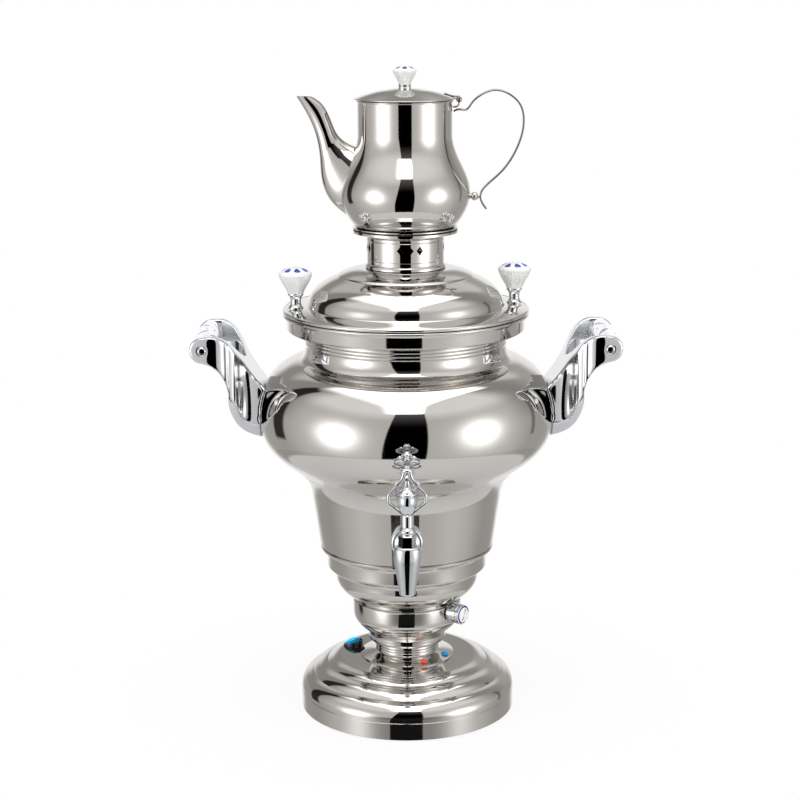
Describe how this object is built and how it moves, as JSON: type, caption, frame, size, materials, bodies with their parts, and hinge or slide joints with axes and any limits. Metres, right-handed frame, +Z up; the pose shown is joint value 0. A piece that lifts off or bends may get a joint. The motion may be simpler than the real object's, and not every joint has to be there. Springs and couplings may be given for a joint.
{
  "type": "electric samovar with teapot",
  "caption": "Polished steel table samovar: a heated water urn with a front tap and side handles, and a teapot on a pierced stand above its lid.",
  "frame": {"origin": "on the table, under the axis of the urn, in the plane of the feet's undersides", "axes": "+Z up along the urn's axis; the tap faces -Y; the side handles lie along X, the teapot's spout towards -X"},
  "size_m": [0.3362, 0.2586, 0.5194],
  "materials": {
    "steel": "mirror polished stainless steel",
    "chrome": "bright chrome plate",
    "porcelain": "glazed white with blue ornament",
    "rubber": "matte black",
    "brass": "plain",
    "black_plastic": "satin black",
    "white_plastic": "satin white",
    "blue_lens": "clear blue lens",
    "red_lens": "clear red lens"
  },
  "bodies": {
    "samovar": {"base_shell": "steel", "bottom_cover": "steel", "foot_ring": "rubber", "neck_waist": "steel", "neck_ring": "steel", "stepped_skirt": "steel", "tank_bowl": "steel", "tank_belly": "steel", "tank_rim": "steel", "tie_rod": "chrome", "tie_nuts": "chrome", "heating_element": "steel", "element_nuts": "brass", "thermostat": "black_plastic", "thermostat_nut": "chrome", "thermal_cutout": "black_plastic", "terminal_block": "white_plastic", "wiring_loom": "white_plastic", "handle_bracket_left": "chrome", "handle_bracket_right": "chrome", "grip_left": "porcelain", "grip_right": "porcelain", "grip_bolts": "chrome", "bracket_studs": "chrome", "tap_rosette": "chrome", "tap_gasket": "rubber", "tap_body": "chrome", "tap_lock_nut": "brass", "tap_bonnet": "chrome", "gland_nut": "chrome", "switch_housing": "black_plastic", "lamp_holders": "chrome", "lamp_red": "red_lens", "lamp_blue": "blue_lens", "power_inlet": "black_plastic", "inlet_pins": "brass"},
    "lid": {"lid_shell": "steel", "lid_collar": "steel", "lid_knobs": "porcelain", "knob_stems": "chrome", "knob_nuts": "chrome"},
    "stand": {"teapot_stand": "steel", "stand_gasket": "rubber", "stand_ring": "steel"},
    "teapot": {"teapot_body": "steel", "teapot_spout": "steel", "teapot_handle": "steel", "handle_post": "steel", "hinge_bracket": "steel", "hinge_pin": "steel"},
    "teapot_cover": {"teapot_lid": "steel", "hinge_leaf": "steel", "lid_ferrule": "chrome", "teapot_lid_knob": "porcelain"},
    "key": {"tap_plug": "brass", "tap_key": "chrome", "key_bulb": "chrome"},
    "dial": {"dial_knob": "chrome", "dial_face": "white_plastic"},
    "switch_rocker": {"rocker": "blue_lens"}
  },
  "joints": [
    {"name": "lid_lift", "type": "slide", "parent": "samovar", "child": "lid", "axis": [0, 0, 1], "range_m": [0, 0.12]},
    {"name": "stand_lift", "type": "slide", "parent": "lid", "child": "stand", "axis": [0, 0, 1], "range_m": [0, 0.06]},
    {"name": "teapot_lift", "type": "slide", "parent": "stand", "child": "teapot", "axis": [0, 0, 1], "range_m": [0, 0.05]},
    {"name": "teapot_lid_hinge", "type": "hinge", "parent": "teapot", "child": "teapot_cover", "pos_m": [0.0418, 0, 0.4938], "axis": [0, 1, 0], "range_deg": [0, 95]},
    {"name": "tap_turn", "type": "hinge", "parent": "samovar", "child": "key", "pos_m": [0, -0.131, 0.1605], "axis": [0, 0, 1], "range_deg": [0, 90]},
    {"name": "dial_turn", "type": "hinge", "parent": "samovar", "child": "dial", "pos_m": [0.03993, -0.03009, 0.0865], "axis": [-0.7986, 0.6018, 0], "range_deg": [0, 270]},
    {"name": "rocker_tilt", "type": "hinge", "parent": "samovar", "child": "switch_rocker", "pos_m": [-0.04481, 0.0172, 0.0435], "axis": [0.3584, 0.9336, 0], "range_deg": [0, 16]}
  ]
}
